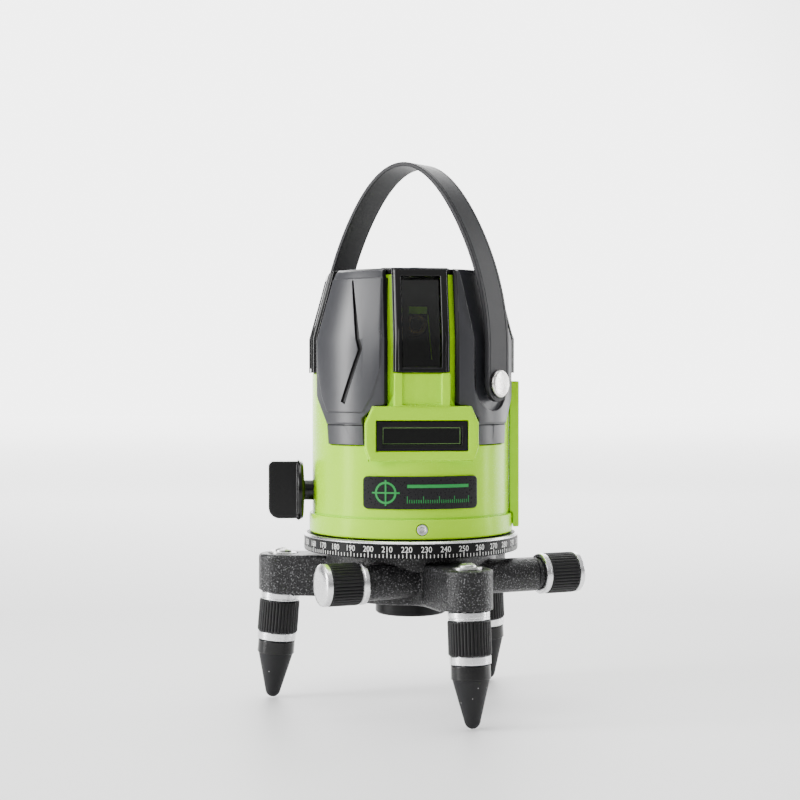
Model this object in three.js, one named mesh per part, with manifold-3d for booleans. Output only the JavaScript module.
// Five-line laser level on a three-legged levelling base. Millimetres, +Z up.
// The windows' centre lines lie along X and Y; the horizontal-beam window faces -Y, the front.
// Everything is modelled round the vertical spindle, with the foot tips on z = 0, and the finished
// group is then moved so that its origin is the middle of the footprint.
import * as THREE from "three";
import { mergeVertices } from "three/addons/utils/BufferGeometryUtils.js";
import Module from "manifold-3d";

const wasm = await Module();
wasm.setup();

// ---- Driving dimensions ----------------------------------------------------------------------
const GAP = 0.3; // between faces that touch
const RUN = 0.4; // all round a part that turns or slides
const BIG = 90; // reach of cutting blocks
const FINE = 48; // facets round the largest turned parts, then the middling and the small ones
const MEDIUM = 24;
const SMALL = 16;

// Legs
const LEG_DIRECTIONS = [287.55, 47.55, 167.55].map(THREE.MathUtils.degToRad);
const LEG_SPLAY = THREE.MathUtils.degToRad(4.5);
const LEG_RADIUS = 61; // spindle to leg axis, at the leg's seat
const STUD_R = 3;
const FOOT_RING_R = 8.9;
const FOOT_RING_H = 3.4;
const FOOT_GRIP_R = 9.35;
const FOOT_GRIP_H = 14.6;
const FOOT_COLLAR_R = 8.7;
const FOOT_COLLAR_H = 6.5;
const FOOT_CONE_H = 16.9;
const FOOT_TIP_R = 3.6;
const CORE_R = 7; // spool under the grip

// Base casting
const HUB_R = 35;
const ARM_HALF = 10.8;
const ARM_FILLET = 8;
const BOSS_RADIUS = 60.3; // spindle to the middle of an arm's round end
const CASTING_LOW_OFF = 1.2; // casting's underside below the leg seats
const CASTING_H = 18.7;
const EDGE = 0.9; // bevel along the casting's edges
const COLLAR_R = 39; // below the turntable
const COLLAR_UP = 2.7; // collar above the casting's arms
const CAVITY_R = 30;
const CAVITY_ROOF = 7.7; // roof thickness under the collar's top
const TUBE_R = 7.75;
const TUBE_OFFSET = 29.5; // spindle to the tangent screws' axis
const TUBE_DROP = 8; // tangent screws' axis below the arms' top
const PIN_R = 3.2;
const PIN_SIDE = 3.2; // lug's middle to a push pin's tip
const TANGENT_LEFT = 35.5; // lug's middle to the knob on each side
const TANGENT_RIGHT = 50.5;
const TANGENT_THROW = 2.6; // free axial way of a tangent knob
const NECK_R = 7.2;
const NECK_INSIDE = 5;

// Tangent knobs
const KNOB_R = 9.3;
const KNOB_GRIP_H = 14.3;
const KNOB_RING_H = 2.9;
const KNOB_CAP_H = 3;
const KNOB_SPOOL_R = 8.2;

// Bottom cover and tripod bush
const PLATE_R = 31.7;
const PLATE_H = 2;
const BUSH_R = 16.3;
const BUSH_BORE_R = 7.9;
const BUSH_H = 7.8;

// Turntable and dial
const SPINDLE_R = 9.7;
const SLEEVE_R = 14;
const DIAL_R = 49;
const DIAL_H = 7.5;
const DIAL_INNER_R = DIAL_R - 13;
const TURNTABLE_R = DIAL_R - 5;
const TURNTABLE_H = 3;

// Instrument
const SHELL_R = 45.2;
const BAND_R = SHELL_R + 1.4;
const BAND_H = 8.7;
const WALL = 2.4;
const CORE_SHELL_R = SHELL_R - 1.6; // shell where the covers and hoods clothe it
const CORE_TOP_R = SHELL_R - 9.2;
const SHELL_H = 106.2;
const SHOULDER_UP = SHELL_H - 43.2; // shell's bottom to the hoods' lower edge
const SLANT_UP = SHELL_H - 27.4; // shell's bottom to where the head starts to narrow
const HOOD_HALF = 12.2;
const HOOD_FACE = SHELL_R + 0.8; // spindle to a hood's outer face
const WINDOW_HALF = 8.6;
const COVER_R = SHELL_R + 1.9;
const COVER_SIDE = 14.7; // spindle planes to a corner cover's edges
const BEZEL_FACE = SHELL_R + 1;
const BEAM_WINDOW_W = 39.5;
const BEAM_WINDOW_H = 12.7;
const BEAM_UP = 35.9; // shell's bottom to the horizontal beam
const TOP_COVER_H = 2.3;
const INSIDE = SHELL_R - 25; // where cuts through the head's wall start
const THROUGH_WALL = SHELL_R - 15; // where cuts through the body's wall start

// Handle
const STRAP_W = 16;
const STRAP_T = 2;
const STRAP_HALF_SPAN = COVER_R + 1.5;
const STRAP_RISE = 85.5;
const STRAP_PINCH = 0.048; // how far the strap's quarters pull in from an ellipse
const STRAP_LEG = 14.4; // straight part above the pivot
const PIVOT_UP = SHELL_H - 47.8; // shell's bottom to the handle's pivot
const RIVET_R = 6;
const RIVET_SHANK_R = 2.5;

// Inside the head
const GIMBAL_R = SHELL_R - 20.2;
const GIMBAL_WALL = 4;
const GIMBAL_H = 6;
const GIMBAL_PIN_R = 1.5;
const COLUMN_HALF = 9;
const LASER_R = 5;
const LASER_L = 14;

// ---- Heights that follow ---------------------------------------------------------------------
const FOOT_GAP = 0.5;
const RING_TOP = -FOOT_GAP;
const GRIP_TOP = RING_TOP - FOOT_RING_H - GAP;
const LOWER_RING_TOP = GRIP_TOP - FOOT_GRIP_H - GAP;
const FOOT_TOP = LOWER_RING_TOP - FOOT_RING_H - GAP;
const TIP_CENTRE = FOOT_TOP - FOOT_COLLAR_H - FOOT_CONE_H;
const LEG_SEAT_Z = -TIP_CENTRE * Math.cos(LEG_SPLAY) + FOOT_TIP_R;
const CASTING_LOW = LEG_SEAT_Z - CASTING_LOW_OFF;
const ARM_TOP = CASTING_LOW + CASTING_H;
const COLLAR_TOP = ARM_TOP + COLLAR_UP;
const CAVITY_TOP = COLLAR_TOP - CAVITY_ROOF;
const TUBE_Z = ARM_TOP - TUBE_DROP;
const TURNTABLE_LOW = COLLAR_TOP + 2 * GAP;
const DIAL_TOP = TURNTABLE_LOW + DIAL_H;
const BAND_LOW = DIAL_TOP + RUN;
const SHELL_LOW = BAND_LOW + BAND_H + GAP;
const SHELL_TOP = SHELL_LOW + SHELL_H;
const SHOULDER_Z = SHELL_LOW + SHOULDER_UP;
const SLANT_Z = SHELL_LOW + SLANT_UP;
const BEAM_Z = SHELL_LOW + BEAM_UP;
const PIVOT_Z = SHELL_LOW + PIVOT_UP;
const INNER_R = SHELL_R - WALL;
const CORE_INNER_R = CORE_SHELL_R - WALL;
const GIMBAL_Z = SHOULDER_Z;
const HEAD_TOP = SHELL_TOP + GAP + TOP_COVER_H;

// ---- Materials -------------------------------------------------------------------------------
const material = (color, roughness, metalness = 0) =>
  new THREE.MeshStandardMaterial({ color, roughness, metalness });
const GREEN = material("#a8e01e", 0.25);
const DARK_GREY = material("#3c3d42", 0.45);
const GLOSS_BLACK = material("#0b0b0d", 0.12);
const BLACK_RUBBER = material("#131314", 0.7);
const CONE_RUBBER = material("#2b2b2e", 0.6);
const CAST_BLACK = material("#1b1c1f", 0.5, 0.3);
const DIAL_BLACK = material("#101012", 0.35, 0.4);
const SILVER = material("#c9cacc", 0.28, 1);
const CHROME = material("#dcdad6", 0.12, 1);
const DARK_GLASS = material("#05070a", 0.05);
const CLEAR_GLASS = material("#cfe8a0", 0.05);
const BRASS = material("#b08d4a", 0.3, 1);
const BOARD_GREEN = material("#1d5a34", 0.5);

// ---- Solids ----------------------------------------------------------------------------------
// A closed geometry as a manifold-3d solid, facing out.
function toSolid(geometry) {
  const loose = geometry.index ? geometry.toNonIndexed() : geometry;
  const bare = new THREE.BufferGeometry().setAttribute("position", loose.getAttribute("position"));
  const merged = mergeVertices(bare, 1e-4);
  const index = merged.index.array;
  const faces = [];
  for (let i = 0; i < index.length; i += 3) {
    const [a, b, c] = index.slice(i, i + 3);
    if (a !== b && b !== c && c !== a) faces.push(a, b, c);
  }
  const build = (list) =>
    new wasm.Manifold(
      new wasm.Mesh({
        numProp: 3,
        vertProperties: new Float32Array(merged.attributes.position.array),
        triVerts: new Uint32Array(list),
      }),
    );
  const solid = build(faces);
  return solid.volume() > 0 ? solid : build([...faces].reverse());
}

function toGeometry(solid) {
  const mesh = solid.getMesh();
  const corners = new Float32Array(mesh.numVert * 3);
  for (let i = 0; i < mesh.numVert; i++) {
    corners.set(mesh.vertProperties.subarray(i * mesh.numProp, i * mesh.numProp + 3), i * 3);
  }
  return new THREE.BufferGeometry()
    .setAttribute("position", new THREE.BufferAttribute(corners, 3))
    .setIndex(new THREE.BufferAttribute(new Uint32Array(mesh.triVerts), 1));
}

const join = (first, ...rest) => rest.reduce((whole, next) => whole.add(next), first);
const cut = (first, ...rest) => rest.reduce((whole, next) => whole.subtract(next), first);
const common = (first, ...rest) => rest.reduce((whole, next) => whole.intersect(next), first);

const point = (x, y, z) => new THREE.Vector3(x, y, z);
const UP = point(0, 0, 1);
const AT_ORIGIN = new THREE.Matrix4();
const compass = (angle) => point(Math.cos(angle), Math.sin(angle), 0);

// A placement whose local x and z axes point along the given directions.
function axesAt(origin, x, z) {
  return new THREE.Matrix4().makeBasis(x, z.clone().cross(x), z).setPosition(origin);
}

// A placement on a vertical face: local x is level, local y is up, local z points out of the face.
const onFace = (outward, reach = 0) =>
  axesAt(outward.clone().multiplyScalar(reach), UP.clone().cross(outward), outward);

// A placement for a profile of reach and height that is extruded sideways, centred on the face.
const sideways = (outward, width) => {
  const across = outward.clone().cross(UP);
  return axesAt(across.clone().multiplyScalar(-width / 2), outward, across);
};

// A profile of [radius, height] pairs turned about z; off the axis, it closes on itself.
function turned(profile, segments = MEDIUM, place = AT_ORIGIN) {
  const closed = profile[0][0] === 0 ? profile : [...profile, profile[0]];
  const points = closed.map(([r, z]) => new THREE.Vector2(r, z));
  const geometry = new THREE.LatheGeometry(points, segments).rotateX(Math.PI / 2);
  return toSolid(geometry.applyMatrix4(place));
}

const disc = (radius, low, high, segments = MEDIUM, place = AT_ORIGIN) =>
  turned([[0, low], [radius, low], [radius, high], [0, high]], segments, place);

const ring = (inner, outer, low, high, segments = MEDIUM, place = AT_ORIGIN) =>
  turned([[inner, low], [outer, low], [outer, high], [inner, high]], segments, place);

function block([x0, x1], [y0, y1], [z0, z1], place = AT_ORIGIN) {
  const geometry = new THREE.BoxGeometry(x1 - x0, y1 - y0, z1 - z0);
  geometry.translate((x0 + x1) / 2, (y0 + y1) / 2, (z0 + z1) / 2);
  return toSolid(geometry.applyMatrix4(place));
}

// An outline, as a Shape or as [x, y] pairs, extruded along local z.
function prism(outline, low, high, place = AT_ORIGIN, options = {}) {
  const shape = Array.isArray(outline)
    ? new THREE.Shape(outline.map(([x, y]) => new THREE.Vector2(x, y)))
    : outline;
  const settings = { depth: high - low, bevelEnabled: false, curveSegments: 5, ...options };
  const geometry = new THREE.ExtrudeGeometry(shape, settings).translate(0, 0, low);
  return toSolid(geometry.applyMatrix4(place));
}

function roundedRectangle(halfWidth, low, high, radius) {
  const shape = new THREE.Shape();
  const turn = Math.PI / 2;
  shape.absarc(halfWidth - radius, low + radius, radius, -turn, 0);
  shape.absarc(halfWidth - radius, high - radius, radius, 0, turn);
  shape.absarc(radius - halfWidth, high - radius, radius, turn, 2 * turn);
  shape.absarc(radius - halfWidth, low + radius, radius, 2 * turn, 3 * turn);
  return shape;
}

// A counter-clockwise outline moved outwards by a distance, corner by corner.
function grown(outline, distance) {
  return outline.map(([x, y], i) => {
    const [px, py] = outline.at(i - 1);
    const [nx, ny] = outline[(i + 1) % outline.length];
    const before = new THREE.Vector2(y - py, px - x).normalize();
    const after = new THREE.Vector2(ny - y, x - nx).normalize();
    const corner = before.add(after);
    const reach = (2 * distance) / corner.lengthSq();
    return [x + corner.x * reach, y + corner.y * reach];
  });
}

// A ring whose outside carries V-shaped flutes.
function flutedRing(inner, outer, low, high, flutes, depth = 0.45) {
  const shape = new THREE.Shape().moveTo(outer, 0);
  for (let i = 1; i < 2 * flutes; i++) {
    const angle = (i * Math.PI) / flutes;
    const radius = i % 2 ? outer - depth : outer;
    shape.lineTo(radius * Math.cos(angle), radius * Math.sin(angle));
  }
  shape.holes.push(new THREE.Path().absarc(0, 0, inner, 0, 2 * Math.PI));
  return prism(shape, low, high, AT_ORIGIN, { curveSegments: SMALL / 2 });
}

const root = new THREE.Group();

function add(name, solid, look, parent = root) {
  const mesh = new THREE.Mesh(toGeometry(solid), look);
  mesh.name = name;
  parent.add(mesh);
}

// ---- Base ------------------------------------------------------------------------------------
const legPlace = (angle) => {
  const seat = compass(angle).multiplyScalar(LEG_RADIUS).setZ(LEG_SEAT_Z);
  const turn = new THREE.Euler(0, -LEG_SPLAY, angle, "ZYX");
  return new THREE.Matrix4().makeRotationFromEuler(turn).setPosition(seat);
};

const FRONT_ARM = compass(LEG_DIRECTIONS[0]);
const TUBE_ALONG = UP.clone().cross(FRONT_ARM);
const tubePlace = axesAt(FRONT_ARM.clone().multiplyScalar(TUBE_OFFSET).setZ(TUBE_Z), UP, TUBE_ALONG);
const SCREW_END = 4.6; // tangent screw's end inside the tube
const SPOT_R = 6.9;
const SPOT_DEPTH = 0.8;
const SPOT_UP = (ARM_TOP - LEG_SEAT_Z) / Math.cos(LEG_SPLAY) - SPOT_DEPTH;

// Hub and three arms in plan, with fillets where an arm leaves the hub.
function armOutline() {
  const shape = new THREE.Shape();
  const side = ARM_HALF + ARM_FILLET;
  const along = Math.sqrt((HUB_R + ARM_FILLET) ** 2 - side ** 2);
  const lean = Math.atan2(side, along);
  const quarter = Math.PI / 2;
  for (const angle of [...LEG_DIRECTIONS].sort((a, b) => a - b)) {
    const out = compass(angle);
    const left = UP.clone().cross(out);
    const at = (x, y) => out.clone().multiplyScalar(x).addScaledVector(left, y);
    const before = at(along, -side);
    const end = at(BOSS_RADIUS, 0);
    const after = at(along, side);
    shape.absarc(before.x, before.y, ARM_FILLET, angle + 2 * quarter - lean, angle + quarter, true);
    shape.absarc(end.x, end.y, ARM_HALF, angle - quarter, angle + quarter);
    shape.absarc(after.x, after.y, ARM_FILLET, angle - quarter, angle - 2 * quarter + lean, true);
    const next = angle + (2 * Math.PI) / 3;
    shape.absarc(0, 0, HUB_R, angle + lean, next - lean);
  }
  return shape;
}

function baseCasting() {
  const bevel = {
    bevelEnabled: true,
    bevelSize: EDGE,
    bevelOffset: -EDGE,
    bevelThickness: EDGE,
    bevelSegments: 1,
  };
  const arms = prism(armOutline(), CASTING_LOW + EDGE, ARM_TOP - EDGE, AT_ORIGIN, bevel);
  const collar = disc(COLLAR_R, ARM_TOP - 3.5, COLLAR_TOP, FINE);
  const tube = disc(TUBE_R, TANGENT_THROW - TANGENT_LEFT, TANGENT_RIGHT - TANGENT_THROW, SMALL, tubePlace);
  const neck = disc(NECK_R, -TANGENT_LEFT - NECK_INSIDE, TANGENT_RIGHT + NECK_INSIDE, SMALL, tubePlace);
  const cavity = disc(CAVITY_R, CASTING_LOW - 1, CAVITY_TOP, MEDIUM);
  const plateSeat = disc(PLATE_R + GAP, CASTING_LOW - 1, CASTING_LOW + PLATE_H + GAP, MEDIUM);
  const bearing = disc(SLEEVE_R + GAP, CAVITY_TOP - 1, COLLAR_TOP + 1, MEDIUM);
  const bore = disc(PIN_R + GAP, -BIG, BIG, SMALL, tubePlace);
  const lugWay = block([-5.5, 3], [-4.5, 5], [-6, 6], tubePlace);
  const legCuts = LEG_DIRECTIONS.flatMap((angle) => {
    const place = legPlace(angle);
    return [
      disc(ARM_HALF + 1.8, -6, 0, SMALL, place),
      disc(STUD_R + RUN, -6, BIG / 2, SMALL, place),
      disc(SPOT_R, SPOT_UP, SPOT_UP + 6, SMALL, place),
    ];
  });
  return cut(join(arms, collar, tube, neck), cavity, plateSeat, bearing, bore, lugWay, ...legCuts);
}

// Closing plate under the hub, with the round boss that takes a tripod's bolt.
function bottomCover() {
  const low = CASTING_LOW;
  const bush = low - BUSH_H;
  return turned([
    [BUSH_BORE_R, bush], [BUSH_R - 0.8, bush], [BUSH_R, bush + 0.8], [BUSH_R, low],
    [PLATE_R, low], [PLATE_R, low + PLATE_H], [BUSH_BORE_R, low + PLATE_H],
  ], MEDIUM);
}

function legStud() {
  const washer = SPOT_UP + GAP;
  const stud = turned([
    [0, -STUD_END], [STUD_R, -STUD_END], [STUD_R, washer], [6.3, washer], [6.3, washer + 1.2],
    [3.7, washer + 1.2], [3.7, washer + 2.4], [2.6, washer + 3], [0, washer + 3],
  ], SMALL);
  const slots = [0, 1].map((i) => {
    const half = [[-2.2, 2.2], [-0.4, 0.4]];
    return block(half[i], half[1 - i], [washer + 1.8, washer + 4]);
  });
  return cut(stud, ...slots);
}

const STUD_END = 9; // stud's end inside the foot's core, below the seat
const CORE_BORE_R = STUD_R + GAP;

function footCore() {
  const low = LOWER_RING_TOP - FOOT_RING_H;
  return turned([
    [CORE_BORE_R, low], [FOOT_RING_R, low], [FOOT_RING_R, LOWER_RING_TOP], [CORE_R, LOWER_RING_TOP],
    [CORE_R, RING_TOP - FOOT_RING_H], [FOOT_RING_R, RING_TOP - FOOT_RING_H],
    [FOOT_RING_R, RING_TOP], [CORE_BORE_R, RING_TOP],
  ], MEDIUM);
}

const FLUTES = 18;
const footGrip = () => flutedRing(CORE_R + GAP, FOOT_GRIP_R, GRIP_TOP - FOOT_GRIP_H, GRIP_TOP, FLUTES);

// Spigot in the core, glossy collar, and a cone that ends in a ball.
function footTip() {
  const spigot = STUD_R - 0.1;
  const collarLow = FOOT_TOP - FOOT_COLLAR_H;
  const coneTopR = FOOT_COLLAR_R - 0.5;
  const slope = Math.atan2(coneTopR - FOOT_TIP_R, collarLow - TIP_CENTRE);
  const steps = 5;
  const ball = Array.from({ length: steps + 1 }, (_, i) => {
    const angle = -Math.PI / 2 + ((Math.PI / 2 - slope) * i) / steps;
    return [i ? FOOT_TIP_R * Math.cos(angle) : 0, TIP_CENTRE + FOOT_TIP_R * Math.sin(angle)];
  });
  return turned([
    ...ball, [coneTopR, collarLow], [FOOT_COLLAR_R, FOOT_TOP], [spigot, FOOT_TOP],
    [spigot, -STUD_END - GAP], [0, -STUD_END - GAP],
  ], SMALL);
}

add("base_casting", baseCasting(), CAST_BLACK);
add("bottom_cover", bottomCover(), BLACK_RUBBER);
LEG_DIRECTIONS.forEach((angle, i) => {
  const leg = new THREE.Group();
  leg.applyMatrix4(legPlace(angle));
  add("leg_stud_" + (i + 1), legStud(), SILVER, leg);
  add("foot_core_" + (i + 1), footCore(), SILVER, leg);
  add("foot_grip_" + (i + 1), footGrip(), BLACK_RUBBER, leg);
  add("foot_tip_" + (i + 1), footTip(), CONE_RUBBER, leg);
  root.add(leg);
});

// ---- Turntable, dial and fine adjustment -----------------------------------------------------
const ARM_RING_TOP = CAVITY_TOP - GAP;
const ARM_RING_LOW = ARM_RING_TOP - 4.7;
const LUG_HALF = PIN_SIDE - RUN;

const TURNTABLE_TOP = TURNTABLE_LOW + TURNTABLE_H;

add("turntable_hub", turned([
  [SPINDLE_R + GAP, ARM_RING_LOW], [SLEEVE_R, ARM_RING_LOW], [SLEEVE_R, TURNTABLE_LOW],
  [TURNTABLE_R, TURNTABLE_LOW], [TURNTABLE_R, TURNTABLE_TOP], [SPINDLE_R + GAP, TURNTABLE_TOP],
], MEDIUM), SILVER);

// In the tube's frame x is up and y points away from the spindle.
add("tangent_arm", join(
  ring(SLEEVE_R + GAP, SLEEVE_R + 5, ARM_RING_LOW, ARM_RING_TOP, MEDIUM),
  block([-2.5, 2.4], [SLEEVE_R + 3 - TUBE_OFFSET, 2], [-LUG_HALF, LUG_HALF], tubePlace),
), BRASS);

add("dial_ring", turned([
  [TURNTABLE_R + GAP, TURNTABLE_LOW], [DIAL_R, TURNTABLE_LOW], [DIAL_R, DIAL_TOP - 1],
  [DIAL_R - 1, DIAL_TOP], [DIAL_INNER_R, DIAL_TOP], [DIAL_INNER_R, TURNTABLE_TOP + GAP],
  [TURNTABLE_R + GAP, TURNTABLE_TOP + GAP],
], FINE), DIAL_BLACK);

// One side's push pin and knob, in a frame whose z runs outwards from the lug.
function tangentSide(side, reach, outward) {
  const group = new THREE.Group();
  const centre = FRONT_ARM.clone().multiplyScalar(TUBE_OFFSET).setZ(TUBE_Z);
  group.applyMatrix4(axesAt(centre, UP, outward));
  const tail = reach - SCREW_END - RUN;
  add("push_pin_" + side, turned([
    [0, PIN_SIDE], [PIN_R - 1, PIN_SIDE], [PIN_R, PIN_SIDE + 1], [PIN_R, tail], [0, tail],
  ], SMALL), SILVER, group);

  const grip = reach + KNOB_RING_H;
  const cap = grip + KNOB_GRIP_H;
  add("tangent_knob_" + side, turned([
    [0, reach - SCREW_END], [PIN_R - GAP, reach - SCREW_END], [PIN_R - GAP, reach + NECK_INSIDE + 3],
    [NECK_R + GAP, reach + NECK_INSIDE + 3], [NECK_R + GAP, reach], [KNOB_R - 0.2, reach],
    [KNOB_R - 0.2, grip], [KNOB_SPOOL_R, grip], [KNOB_SPOOL_R, cap], [KNOB_R - 0.1, cap],
    [KNOB_R - 0.1, cap + KNOB_CAP_H - 0.6], [KNOB_R - 0.7, cap + KNOB_CAP_H], [0, cap + KNOB_CAP_H + 0.6],
  ], MEDIUM), SILVER, group);
  add("tangent_grip_" + side,
    flutedRing(KNOB_SPOOL_R + GAP, KNOB_R, grip + GAP, cap - GAP, FLUTES), BLACK_RUBBER, group);
  root.add(group);
}
tangentSide("left", TANGENT_LEFT, TUBE_ALONG.clone().negate());
tangentSide("right", TANGENT_RIGHT, TUBE_ALONG);

// ---- Instrument shell ------------------------------------------------------------------------
const WINDOWS = {
  front: point(0, -1, 0),
  right: point(1, 0, 0),
  rear: point(0, 1, 0),
  left: point(-1, 0, 0),
};
const HALF = Math.SQRT1_2;
const CORNERS = {
  front_right: point(HALF, -HALF, 0),
  front_left: point(-HALF, -HALF, 0),
  rear_right: point(HALF, HALF, 0),
  rear_left: point(-HALF, HALF, 0),
};
const STRAP_SIDES = ["front_right", "rear_left"];
const FRONT = WINDOWS.front;

// The space inside the hoods and corner covers, larger than the shell by a clearance.
function coreSpace(clearance) {
  return turned([
    [0, SHELL_LOW - 1], [CORE_SHELL_R + clearance, SHELL_LOW - 1], [CORE_SHELL_R + clearance, SLANT_Z],
    [CORE_TOP_R + clearance, SHELL_TOP], [CORE_TOP_R + clearance, SHELL_TOP + 9], [0, SHELL_TOP + 9],
  ], FINE);
}

// A corner cover's outline: x runs level across the corner, y is height. On the front corners the
// positive side drops in steps beside the beam window's bezel.
const COVER_LOW = SHELL_LOW + 31.8;
function coverOutline(front) {
  const top = HEAD_TOP + 6;
  const plain = [[10.4, 0], [11.5, 10], [22.5, 25]];
  const stepped = [[10.2, 0], [9.6, 11.6], [15.9, 17], [19.2, 17.2], [21.5, 22], [22.5, 25]];
  const right = (front ? stepped : plain).map(([x, up]) => [x, COVER_LOW + up]);
  const left = plain.map(([x, up]) => [-x, COVER_LOW + up]).reverse();
  return [...right, [22.5, top], [-22.5, top], ...left];
}

// Local x on a corner points towards the bezel on both front corners.
function cornerPlace(name) {
  const outward = CORNERS[name];
  const place = onFace(outward);
  const mirrored = name === "front_right";
  return mirrored ? place.multiply(new THREE.Matrix4().makeScale(-1, 1, 1)) : place;
}

const cornerPrism = (name, clearance) =>
  prism(grown(coverOutline(name.startsWith("front")), clearance), INSIDE, BIG, cornerPlace(name));

const HOOD_LOW = SHOULDER_Z + GAP;
const HOOD_TOP = HEAD_TOP + 0.2;
const SLOT_LOW = SHOULDER_Z + 2.3;
const SLOT_HIGH = SHELL_TOP - 0.9;
const GLASS_BACK = 3.2; // hood's face to its glass
const PANE_T = 1.6;

// A hood's outer face as [reach, height], from its foot to its rounded top, set back by a distance.
const hoodFace = (back = 0) => [
  [HOOD_FACE - back, HOOD_LOW],
  [HOOD_FACE - back, SLANT_Z],
  [CORE_TOP_R + 2.7 - back, SHELL_TOP + 0.6],
];

const slot = (outward, half, low, high, from = INSIDE) =>
  block([-half, half], [low, high], [from, BIG], onFace(outward));

const BEZEL = [
  [24.5, BEAM_Z - 5.1], [24.5, BEAM_Z + 5.5], [21.3, BEAM_Z + 12.7], [-21.3, BEAM_Z + 12.7],
  [-24.5, BEAM_Z + 5.5], [-24.5, BEAM_Z - 5.1], [-22.5, BEAM_Z - 10.6], [22.5, BEAM_Z - 10.6],
];
const FRAME_DEPTH = 2.4;
const GLASS_T = 1;
const LOCK_Z = SHELL_LOW + 9.8;
const LOCK_SHAFT_R = 4.6;
const DOOR_HALF = 13;
const PACK_TOP = SHELL_LOW + 57;
const atLock = onFace(WINDOWS.left).setPosition(0, 0, LOCK_Z);

function mainHousing() {
  const inside = turned([
    [0, SHELL_LOW - 1], [INNER_R, SHELL_LOW - 1], [INNER_R, COVER_LOW - 6], [CORE_INNER_R, COVER_LOW - 4],
    [CORE_INNER_R, SLANT_Z - 0.6], [CORE_TOP_R - WALL, SHELL_TOP + 0.5], [0, SHELL_TOP + 0.5],
  ], FINE);
  const shell = turned([
    [0, SHELL_LOW], [SHELL_R, SHELL_LOW], [SHELL_R, SHOULDER_Z], [CORE_SHELL_R, SHOULDER_Z],
    [CORE_SHELL_R, SLANT_Z], [CORE_TOP_R, SHELL_TOP], [0, SHELL_TOP],
  ], FINE);
  const bezel = prism(BEZEL, THROUGH_WALL, BEZEL_FACE, onFace(FRONT));
  const column = cut(
    block([-HOOD_HALF, HOOD_HALF], [BEAM_Z + 12, SHOULDER_Z], [THROUGH_WALL, HOOD_FACE], onFace(FRONT)),
    block([-8.5, 8.5], [BEAM_Z + 13.5, SHOULDER_Z + 1], [HOOD_FACE - 1, BIG], onFace(FRONT)),
  );
  const corners = Object.keys(CORNERS).map((name) => cut(cornerPrism(name, GAP), coreSpace(0)));
  const slots = Object.values(WINDOWS).map((outward) =>
    slot(outward, WINDOW_HALF + GAP, SLOT_LOW - GAP, SLOT_HIGH + GAP, THROUGH_WALL));
  const half = BEAM_WINDOW_W / 2;
  const high = BEAM_WINDOW_H / 2;
  const beam = [
    [half + GAP, high + GAP, BEZEL_FACE - FRAME_DEPTH - GAP],
    [half - 2, high - 2, BEZEL_FACE - FRAME_DEPTH - GLASS_T - 3 * GAP],
    [half - 3.5, high - 3.2, INSIDE],
  ].map(([w, h, from]) => slot(FRONT, w, BEAM_Z - h, BEAM_Z + h, from));
  const batteryWay = slot(WINDOWS.right, DOOR_HALF - GAP, SHELL_LOW + 0.8, PACK_TOP + 0.8, THROUGH_WALL);
  const lockWay = disc(LOCK_SHAFT_R + RUN, THROUGH_WALL, BIG, SMALL, atLock);
  const rivetWays = STRAP_SIDES.map((name) => rivetHole(name));
  const ways = [...slots, ...beam, batteryWay, lockWay, ...rivetWays];
  return cut(join(shell, bezel, column), inside, ...corners, ...ways);
}

const atPivot = (name) => onFace(CORNERS[name]).setPosition(0, 0, PIVOT_Z);
const rivetHole = (name) => disc(RIVET_SHANK_R + RUN, THROUGH_WALL, BIG, SMALL, atPivot(name));

function cornerCover(name) {
  const outside = turned([
    [0, COVER_LOW - 1], [COVER_R - 0.5, COVER_LOW - 1],
    [COVER_R - 0.5, COVER_LOW + 9], [COVER_R, COVER_LOW + 9.4],
    [COVER_R, SLANT_Z - 1], [CORE_TOP_R + 3.7, SHELL_TOP - 0.4], [CORE_TOP_R + 2.9, SHELL_TOP + 1.6],
    [CORE_TOP_R + 1.2, HEAD_TOP], [0, HEAD_TOP],
  ], FINE);
  const sx = Math.sign(CORNERS[name].x);
  const sy = Math.sign(CORNERS[name].y);
  const span = (sign) => (sign > 0 ? [COVER_SIDE, BIG] : [-BIG, -COVER_SIDE]);
  const quadrant = block(span(sx), span(sy), [COVER_LOW - 2, HEAD_TOP + 2]);
  const cover = cut(common(cornerPrism(name, 0), outside, quadrant), coreSpace(GAP));
  if (!STRAP_SIDES.includes(name)) return cover;
  return cut(cover, strapRecess(name), rivetHole(name));
}

// The sunk field behind the strap, open at the top and round at the pivot.
const RECESS = 1.8;
function strapRecess(name) {
  const half = STRAP_W / 2 + 4;
  const field = new THREE.Shape();
  field.moveTo(half, BIG);
  field.lineTo(-half, BIG);
  field.absarc(0, 0, half, Math.PI, 2 * Math.PI);
  const floor = turned([
    [0, COVER_LOW - 9],
    [COVER_R - RECESS, COVER_LOW - 9],
    [COVER_R - RECESS, SLANT_Z - 1],
    [CORE_TOP_R + 3.7 - RECESS, SHELL_TOP - 0.4],
    [CORE_TOP_R + 3.7 - RECESS, HEAD_TOP + 9],
    [0, HEAD_TOP + 9],
  ], FINE);
  return cut(prism(field, INSIDE, BIG, atPivot(name)), floor);
}

function windowHood(outward) {
  const top = [[CORE_TOP_R + 2, HEAD_TOP - 0.6], [CORE_TOP_R + 0.5, HOOD_TOP]];
  const profile = [[INSIDE, HOOD_LOW], ...hoodFace(), ...top, [INSIDE, HOOD_TOP]];
  const body = prism(profile, 0, 2 * HOOD_HALF, sideways(outward, 2 * HOOD_HALF));
  return cut(body, coreSpace(GAP), slot(outward, WINDOW_HALF, SLOT_LOW, SLOT_HIGH));
}

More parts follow.
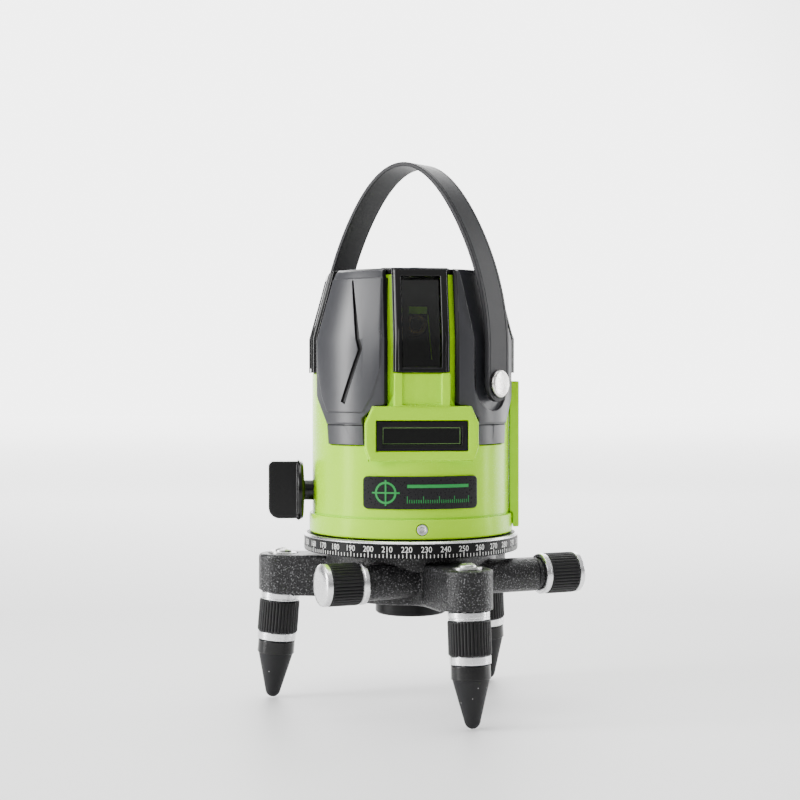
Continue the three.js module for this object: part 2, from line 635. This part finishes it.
function windowGlass(outward) {
  const front = hoodFace(GLASS_BACK);
  const rear = hoodFace(GLASS_BACK + PANE_T).reverse();
  const width = 2 * (WINDOW_HALF - GAP);
  const pane = prism([...front, ...rear], 0, width, sideways(outward, width));
  return common(pane, slot(outward, WINDOW_HALF, SLOT_LOW + GAP, SLOT_HIGH - GAP));
}

const gimbalAcross = (direction) => axesAt(point(0, 0, GIMBAL_Z), UP, direction);

// Rotating lower part: green band, floor, spindle and the two uprights that carry the gimbal.
function instrumentBase() {
  const top = BAND_LOW + BAND_H;
  const floorTop = BAND_LOW + 2.8;
  const body = turned([
    [0, ARM_RING_LOW + 1], [SPINDLE_R, ARM_RING_LOW + 1], [SPINDLE_R, BAND_LOW], [BAND_R - 0.6, BAND_LOW],
    [BAND_R, BAND_LOW + 0.6], [BAND_R, top], [BAND_R - WALL, top],
    [BAND_R - WALL, floorTop], [0, floorTop],
  ], FINE);
  const uprights = [-1, 1].map((side) => {
    const middle = side * (GIMBAL_R + 6);
    return block([middle - 2.5, middle + 2.5], [-5, 5], [BAND_LOW + 1, GIMBAL_Z + 5]);
  });
  const pivots = disc(GIMBAL_PIN_R + RUN, -BIG, BIG, SMALL, gimbalAcross(WINDOWS.right));
  const screwWay = disc(SCREW_HEAD_R + GAP, THROUGH_WALL, BIG, SMALL, atBandScrew);
  return cut(join(body, ...uprights), pivots, screwWay);
}

const SCREW_HEAD_R = 2.4;
const BAND_SCREW_Z = BAND_LOW + 4.4;
const atBandScrew = onFace(FRONT).setPosition(0, 0, BAND_SCREW_Z);

// Socket screw: a hexagon's six facets make the key's hole.
function bandScrew() {
  const tail = BAND_R - 6.6;
  const seat = BAND_R - 2.2;
  const face = BAND_R - 0.2;
  const head = turned([
    [0, tail], [1.3, tail], [1.3, seat], [SCREW_HEAD_R, seat], [SCREW_HEAD_R, face], [0, face],
  ], SMALL, atBandScrew);
  return cut(head, disc(1.2, face - 1.2, face + 1, 6, atBandScrew));
}

add("instrument_base", instrumentBase(), GREEN);
add("band_screw", bandScrew(), SILVER);
add("main_housing", mainHousing(), GREEN);
for (const name of Object.keys(CORNERS)) add("corner_cover_" + name, cornerCover(name), DARK_GREY);
for (const [name, outward] of Object.entries(WINDOWS)) {
  add("window_hood_" + name, windowHood(outward), GLOSS_BLACK);
  add("window_glass_" + name, windowGlass(outward), DARK_GLASS);
}

// ---- Beam window, badge plate and lock -------------------------------------------------------
const frameFace = BEZEL_FACE - 0.2;
add("beam_window_frame", cut(
  block([-BEAM_WINDOW_W / 2, BEAM_WINDOW_W / 2], [BEAM_Z - BEAM_WINDOW_H / 2, BEAM_Z + BEAM_WINDOW_H / 2],
    [frameFace - FRAME_DEPTH + 0.2, frameFace], onFace(FRONT)),
  slot(FRONT, BEAM_WINDOW_W / 2 - 2.5, BEAM_Z - BEAM_WINDOW_H / 2 + 2.4, BEAM_Z + BEAM_WINDOW_H / 2 - 2.4),
), GLOSS_BLACK);
const glassHalf = BEAM_WINDOW_W / 2 - 2 - GAP;
const glassHigh = BEAM_WINDOW_H / 2 - 2 - GAP;
const glassFace = BEZEL_FACE - FRAME_DEPTH - 2 * GAP;
add("beam_window_glass", block([-glassHalf, glassHalf], [BEAM_Z - glassHigh, BEAM_Z + glassHigh],
  [glassFace - GLASS_T, glassFace], onFace(FRONT)), DARK_GLASS);

const BADGE_HALF = 25;
const BADGE_LOW = SHELL_LOW + 4.2;
const BADGE_H = 14.2;
add("badge_plate", common(
  ring(SHELL_R + GAP, SHELL_R + 0.9, BADGE_LOW - 1, BADGE_LOW + BADGE_H + 1, FINE),
  prism(roundedRectangle(BADGE_HALF, BADGE_LOW, BADGE_LOW + BADGE_H, 2), INSIDE, BIG, onFace(FRONT)),
), DARK_GREY);

const LOCK_R = 13.3;
function lockKnob() {
  const disk = SHELL_R + 4.2;
  const shaft = SHELL_R - 9.2;
  const body = turned([
    [0, shaft], [LOCK_SHAFT_R, shaft], [LOCK_SHAFT_R, disk], [LOCK_R - 0.8, disk], [LOCK_R, disk + 0.8],
    [LOCK_R, disk + 3], [0, disk + 3],
  ], MEDIUM, atLock);
  const wing = new THREE.Shape();
  const far = disk + 15.9;
  wing.moveTo(disk + 2, -LOCK_R + 0.6);
  wing.lineTo(far - 5, -LOCK_R + 0.6);
  wing.absarc(far - 5, -LOCK_R + 5.6, 5, -Math.PI / 2, 0);
  wing.lineTo(far, LOCK_R - 1.5);
  wing.lineTo(far - 1.5, LOCK_R);
  wing.lineTo(disk + 2, LOCK_R);
  const side = sideways(WINDOWS.left, 8);
  side.setPosition(new THREE.Vector3().setFromMatrixPosition(side).setZ(LOCK_Z));
  return join(body, prism(wing, 0, 8, side));
}
add("lock_knob", lockKnob(), GLOSS_BLACK);

// ---- Battery ---------------------------------------------------------------------------------
const DOOR_FACE = SHELL_R + 3;
const DOOR_LOW = BAND_LOW + 2.3;
const DOOR_TOP = SHELL_LOW + 59.6;
add("battery_door", cut(
  block([SHELL_R - 7, DOOR_FACE], [-DOOR_HALF, DOOR_HALF], [DOOR_LOW, DOOR_TOP]),
  disc(SHELL_R + GAP, DOOR_LOW - 1, DOOR_TOP + 1, FINE),
  disc(BAND_R + GAP, DOOR_LOW - 1, SHELL_LOW, FINE),
), GREEN);
add("battery_pack", common(
  block([SHELL_R - 11.2, SHELL_R], [-DOOR_HALF + 1, DOOR_HALF - 1], [SHELL_LOW + 1.2, PACK_TOP]),
  disc(SHELL_R - 0.4, SHELL_LOW, SHOULDER_Z, FINE),
), BLACK_RUBBER);

// ---- Top -------------------------------------------------------------------------------------
const BUTTON_R = 4;
const BUTTONS = { power: [0, -19], pulse: [12, -16], mode: [-12, -16] };
const VIAL_R = 7.7;
const VIAL_Y = 10;
const TOP_LOW = SHELL_TOP + GAP;
const at = (x, y) => new THREE.Matrix4().setPosition(x, y, 0);

add("top_cover", cut(
  turned([
    [0, TOP_LOW], [CORE_TOP_R, TOP_LOW], [CORE_TOP_R, HEAD_TOP - 0.6],
    [CORE_TOP_R - 0.6, HEAD_TOP], [0, HEAD_TOP],
  ], FINE),
  disc(VIAL_R + GAP, 0, BIG * 3, MEDIUM, at(0, VIAL_Y)),
  ...Object.values(BUTTONS).map(([x, y]) => disc(BUTTON_R + RUN, 0, BIG * 3, SMALL, at(x, y))),
), GLOSS_BLACK);
for (const [name, [x, y]] of Object.entries(BUTTONS)) {
  add("button_" + name, turned([
    [0, TOP_LOW - 4], [BUTTON_R + 1, TOP_LOW - 4],
    [BUTTON_R + 1, TOP_LOW - 2 * GAP], [BUTTON_R, TOP_LOW - 2 * GAP],
    [BUTTON_R, HEAD_TOP + 0.9], [BUTTON_R - 0.6, HEAD_TOP + 1.4], [0, HEAD_TOP + 1.4],
  ], SMALL, at(x, y)), DARK_GREY);
}
add("bubble_vial", disc(VIAL_R, TOP_LOW - 3.5, HEAD_TOP + 0.3, MEDIUM, at(0, VIAL_Y)), CLEAR_GLASS);

// ---- Handle ----------------------------------------------------------------------------------
// Half of the strap's centre line as [level, up from the pivot], from the pivot to the crown.
function strapCentreLine(steps) {
  const curve = Array.from({ length: steps + 1 }, (_, i) => {
    const angle = (Math.PI / 2) * (i / steps);
    const pinch = 1 - STRAP_PINCH * Math.sin(2 * angle) ** 2;
    const level = i === steps ? 0 : STRAP_HALF_SPAN * Math.cos(angle) * pinch;
    return [level, STRAP_LEG + STRAP_RISE * Math.sin(angle) * pinch];
  });
  return [[STRAP_HALF_SPAN, -STRAP_W / 2 - 1], ...curve];
}

function strap() {
  const half = strapCentreLine(14);
  const mirror = half.slice(0, -1).map(([x, y]) => [-x, y]).reverse();
  const line = [...half, ...mirror];
  const offset = (distance) => line.map(([x, y], i) => {
    const [ax, ay] = line[Math.max(i - 1, 0)];
    const [bx, by] = line[Math.min(i + 1, line.length - 1)];
    const long = Math.hypot(bx - ax, by - ay);
    return [x + ((by - ay) / long) * distance, y - ((bx - ax) / long) * distance];
  });
  const outline = [...offset(STRAP_T / 2), ...offset(-STRAP_T / 2).reverse()];
  const along = CORNERS.front_right;
  const across = along.clone().cross(UP);
  const place = axesAt(across.clone().multiplyScalar(-STRAP_W / 2).setZ(PIVOT_Z), along, across);
  const ends = new THREE.Shape();
  ends.moveTo(STRAP_W / 2, 2 * BIG);
  ends.lineTo(-STRAP_W / 2, 2 * BIG);
  ends.absarc(0, 0, STRAP_W / 2, Math.PI, 2 * Math.PI);
  return cut(
    common(prism(outline, 0, STRAP_W, place), prism(ends, -BIG, BIG, atPivot("front_right"))),
    ...STRAP_SIDES.map((name) => rivetHole(name)),
  );
}
add("handle_strap", strap(), DARK_GREY);
for (const name of STRAP_SIDES) {
  const head = STRAP_HALF_SPAN + STRAP_T / 2 + GAP;
  add("handle_rivet_" + name, turned([
    [0, CORE_INNER_R - 2], [RIVET_SHANK_R, CORE_INNER_R - 2], [RIVET_SHANK_R, head], [RIVET_R, head],
    [RIVET_R, head + 1], [RIVET_R - 0.5, head + 1.5], [0, head + 1.8],
  ], SMALL, atPivot(name)), CHROME);
}

// ---- Inside the head -------------------------------------------------------------------------
const gimbalInner = GIMBAL_R - GIMBAL_WALL;
const acrossX = gimbalAcross(WINDOWS.right);
const acrossY = gimbalAcross(WINDOWS.rear);
const gimbalBand = ring(gimbalInner, GIMBAL_R, GIMBAL_Z - GIMBAL_H / 2, GIMBAL_Z + GIMBAL_H / 2);
const outerPins = [-1, 1].map((side) => {
  const ends = [side * (GIMBAL_R - 2), side * (GIMBAL_R + 8)].sort((a, b) => a - b);
  return disc(GIMBAL_PIN_R, ...ends, SMALL, acrossX);
});
const innerPinWay = disc(GIMBAL_PIN_R + RUN, -BIG, BIG, SMALL, acrossY);
add("gimbal_ring", cut(join(gimbalBand, ...outerPins), innerPinWay), SILVER);

const COLUMN_LOW = SHELL_LOW + 12;
const COLUMN_TOP = SLANT_Z + 14;
const WEIGHT_R = 14;
add("pendulum_frame", join(
  block([-COLUMN_HALF, COLUMN_HALF], [-COLUMN_HALF, COLUMN_HALF], [COLUMN_LOW, COLUMN_TOP]),
  disc(WEIGHT_R, COLUMN_LOW - 5, COLUMN_LOW + 10, MEDIUM),
  disc(GIMBAL_PIN_R, 1 - gimbalInner - GIMBAL_WALL / 2, gimbalInner + GIMBAL_WALL / 2 - 1, SMALL, acrossY),
), BRASS);

const laser = (outward, height) =>
  disc(LASER_R, COLUMN_HALF + GAP, COLUMN_HALF + LASER_L, SMALL, onFace(outward).setPosition(0, 0, height));
for (const [name, outward] of Object.entries(WINDOWS)) {
  add("vertical_laser_" + name, laser(outward, SLANT_Z + 6), BRASS);
}
add("horizontal_laser", laser(FRONT, BEAM_Z), BRASS);
add("circuit_board", block([-20, 20], [33, 34.6], [SHELL_LOW + 3, SHELL_LOW + 53]), BOARD_GREEN);

// ---- Origin at the middle of the footprint ---------------------------------------------------
const box = new THREE.Box3().setFromObject(root, true);
const middle = box.getCenter(new THREE.Vector3());
const model = new THREE.Group();
root.position.set(-middle.x, -middle.y, 0);
model.add(root);

export default model;
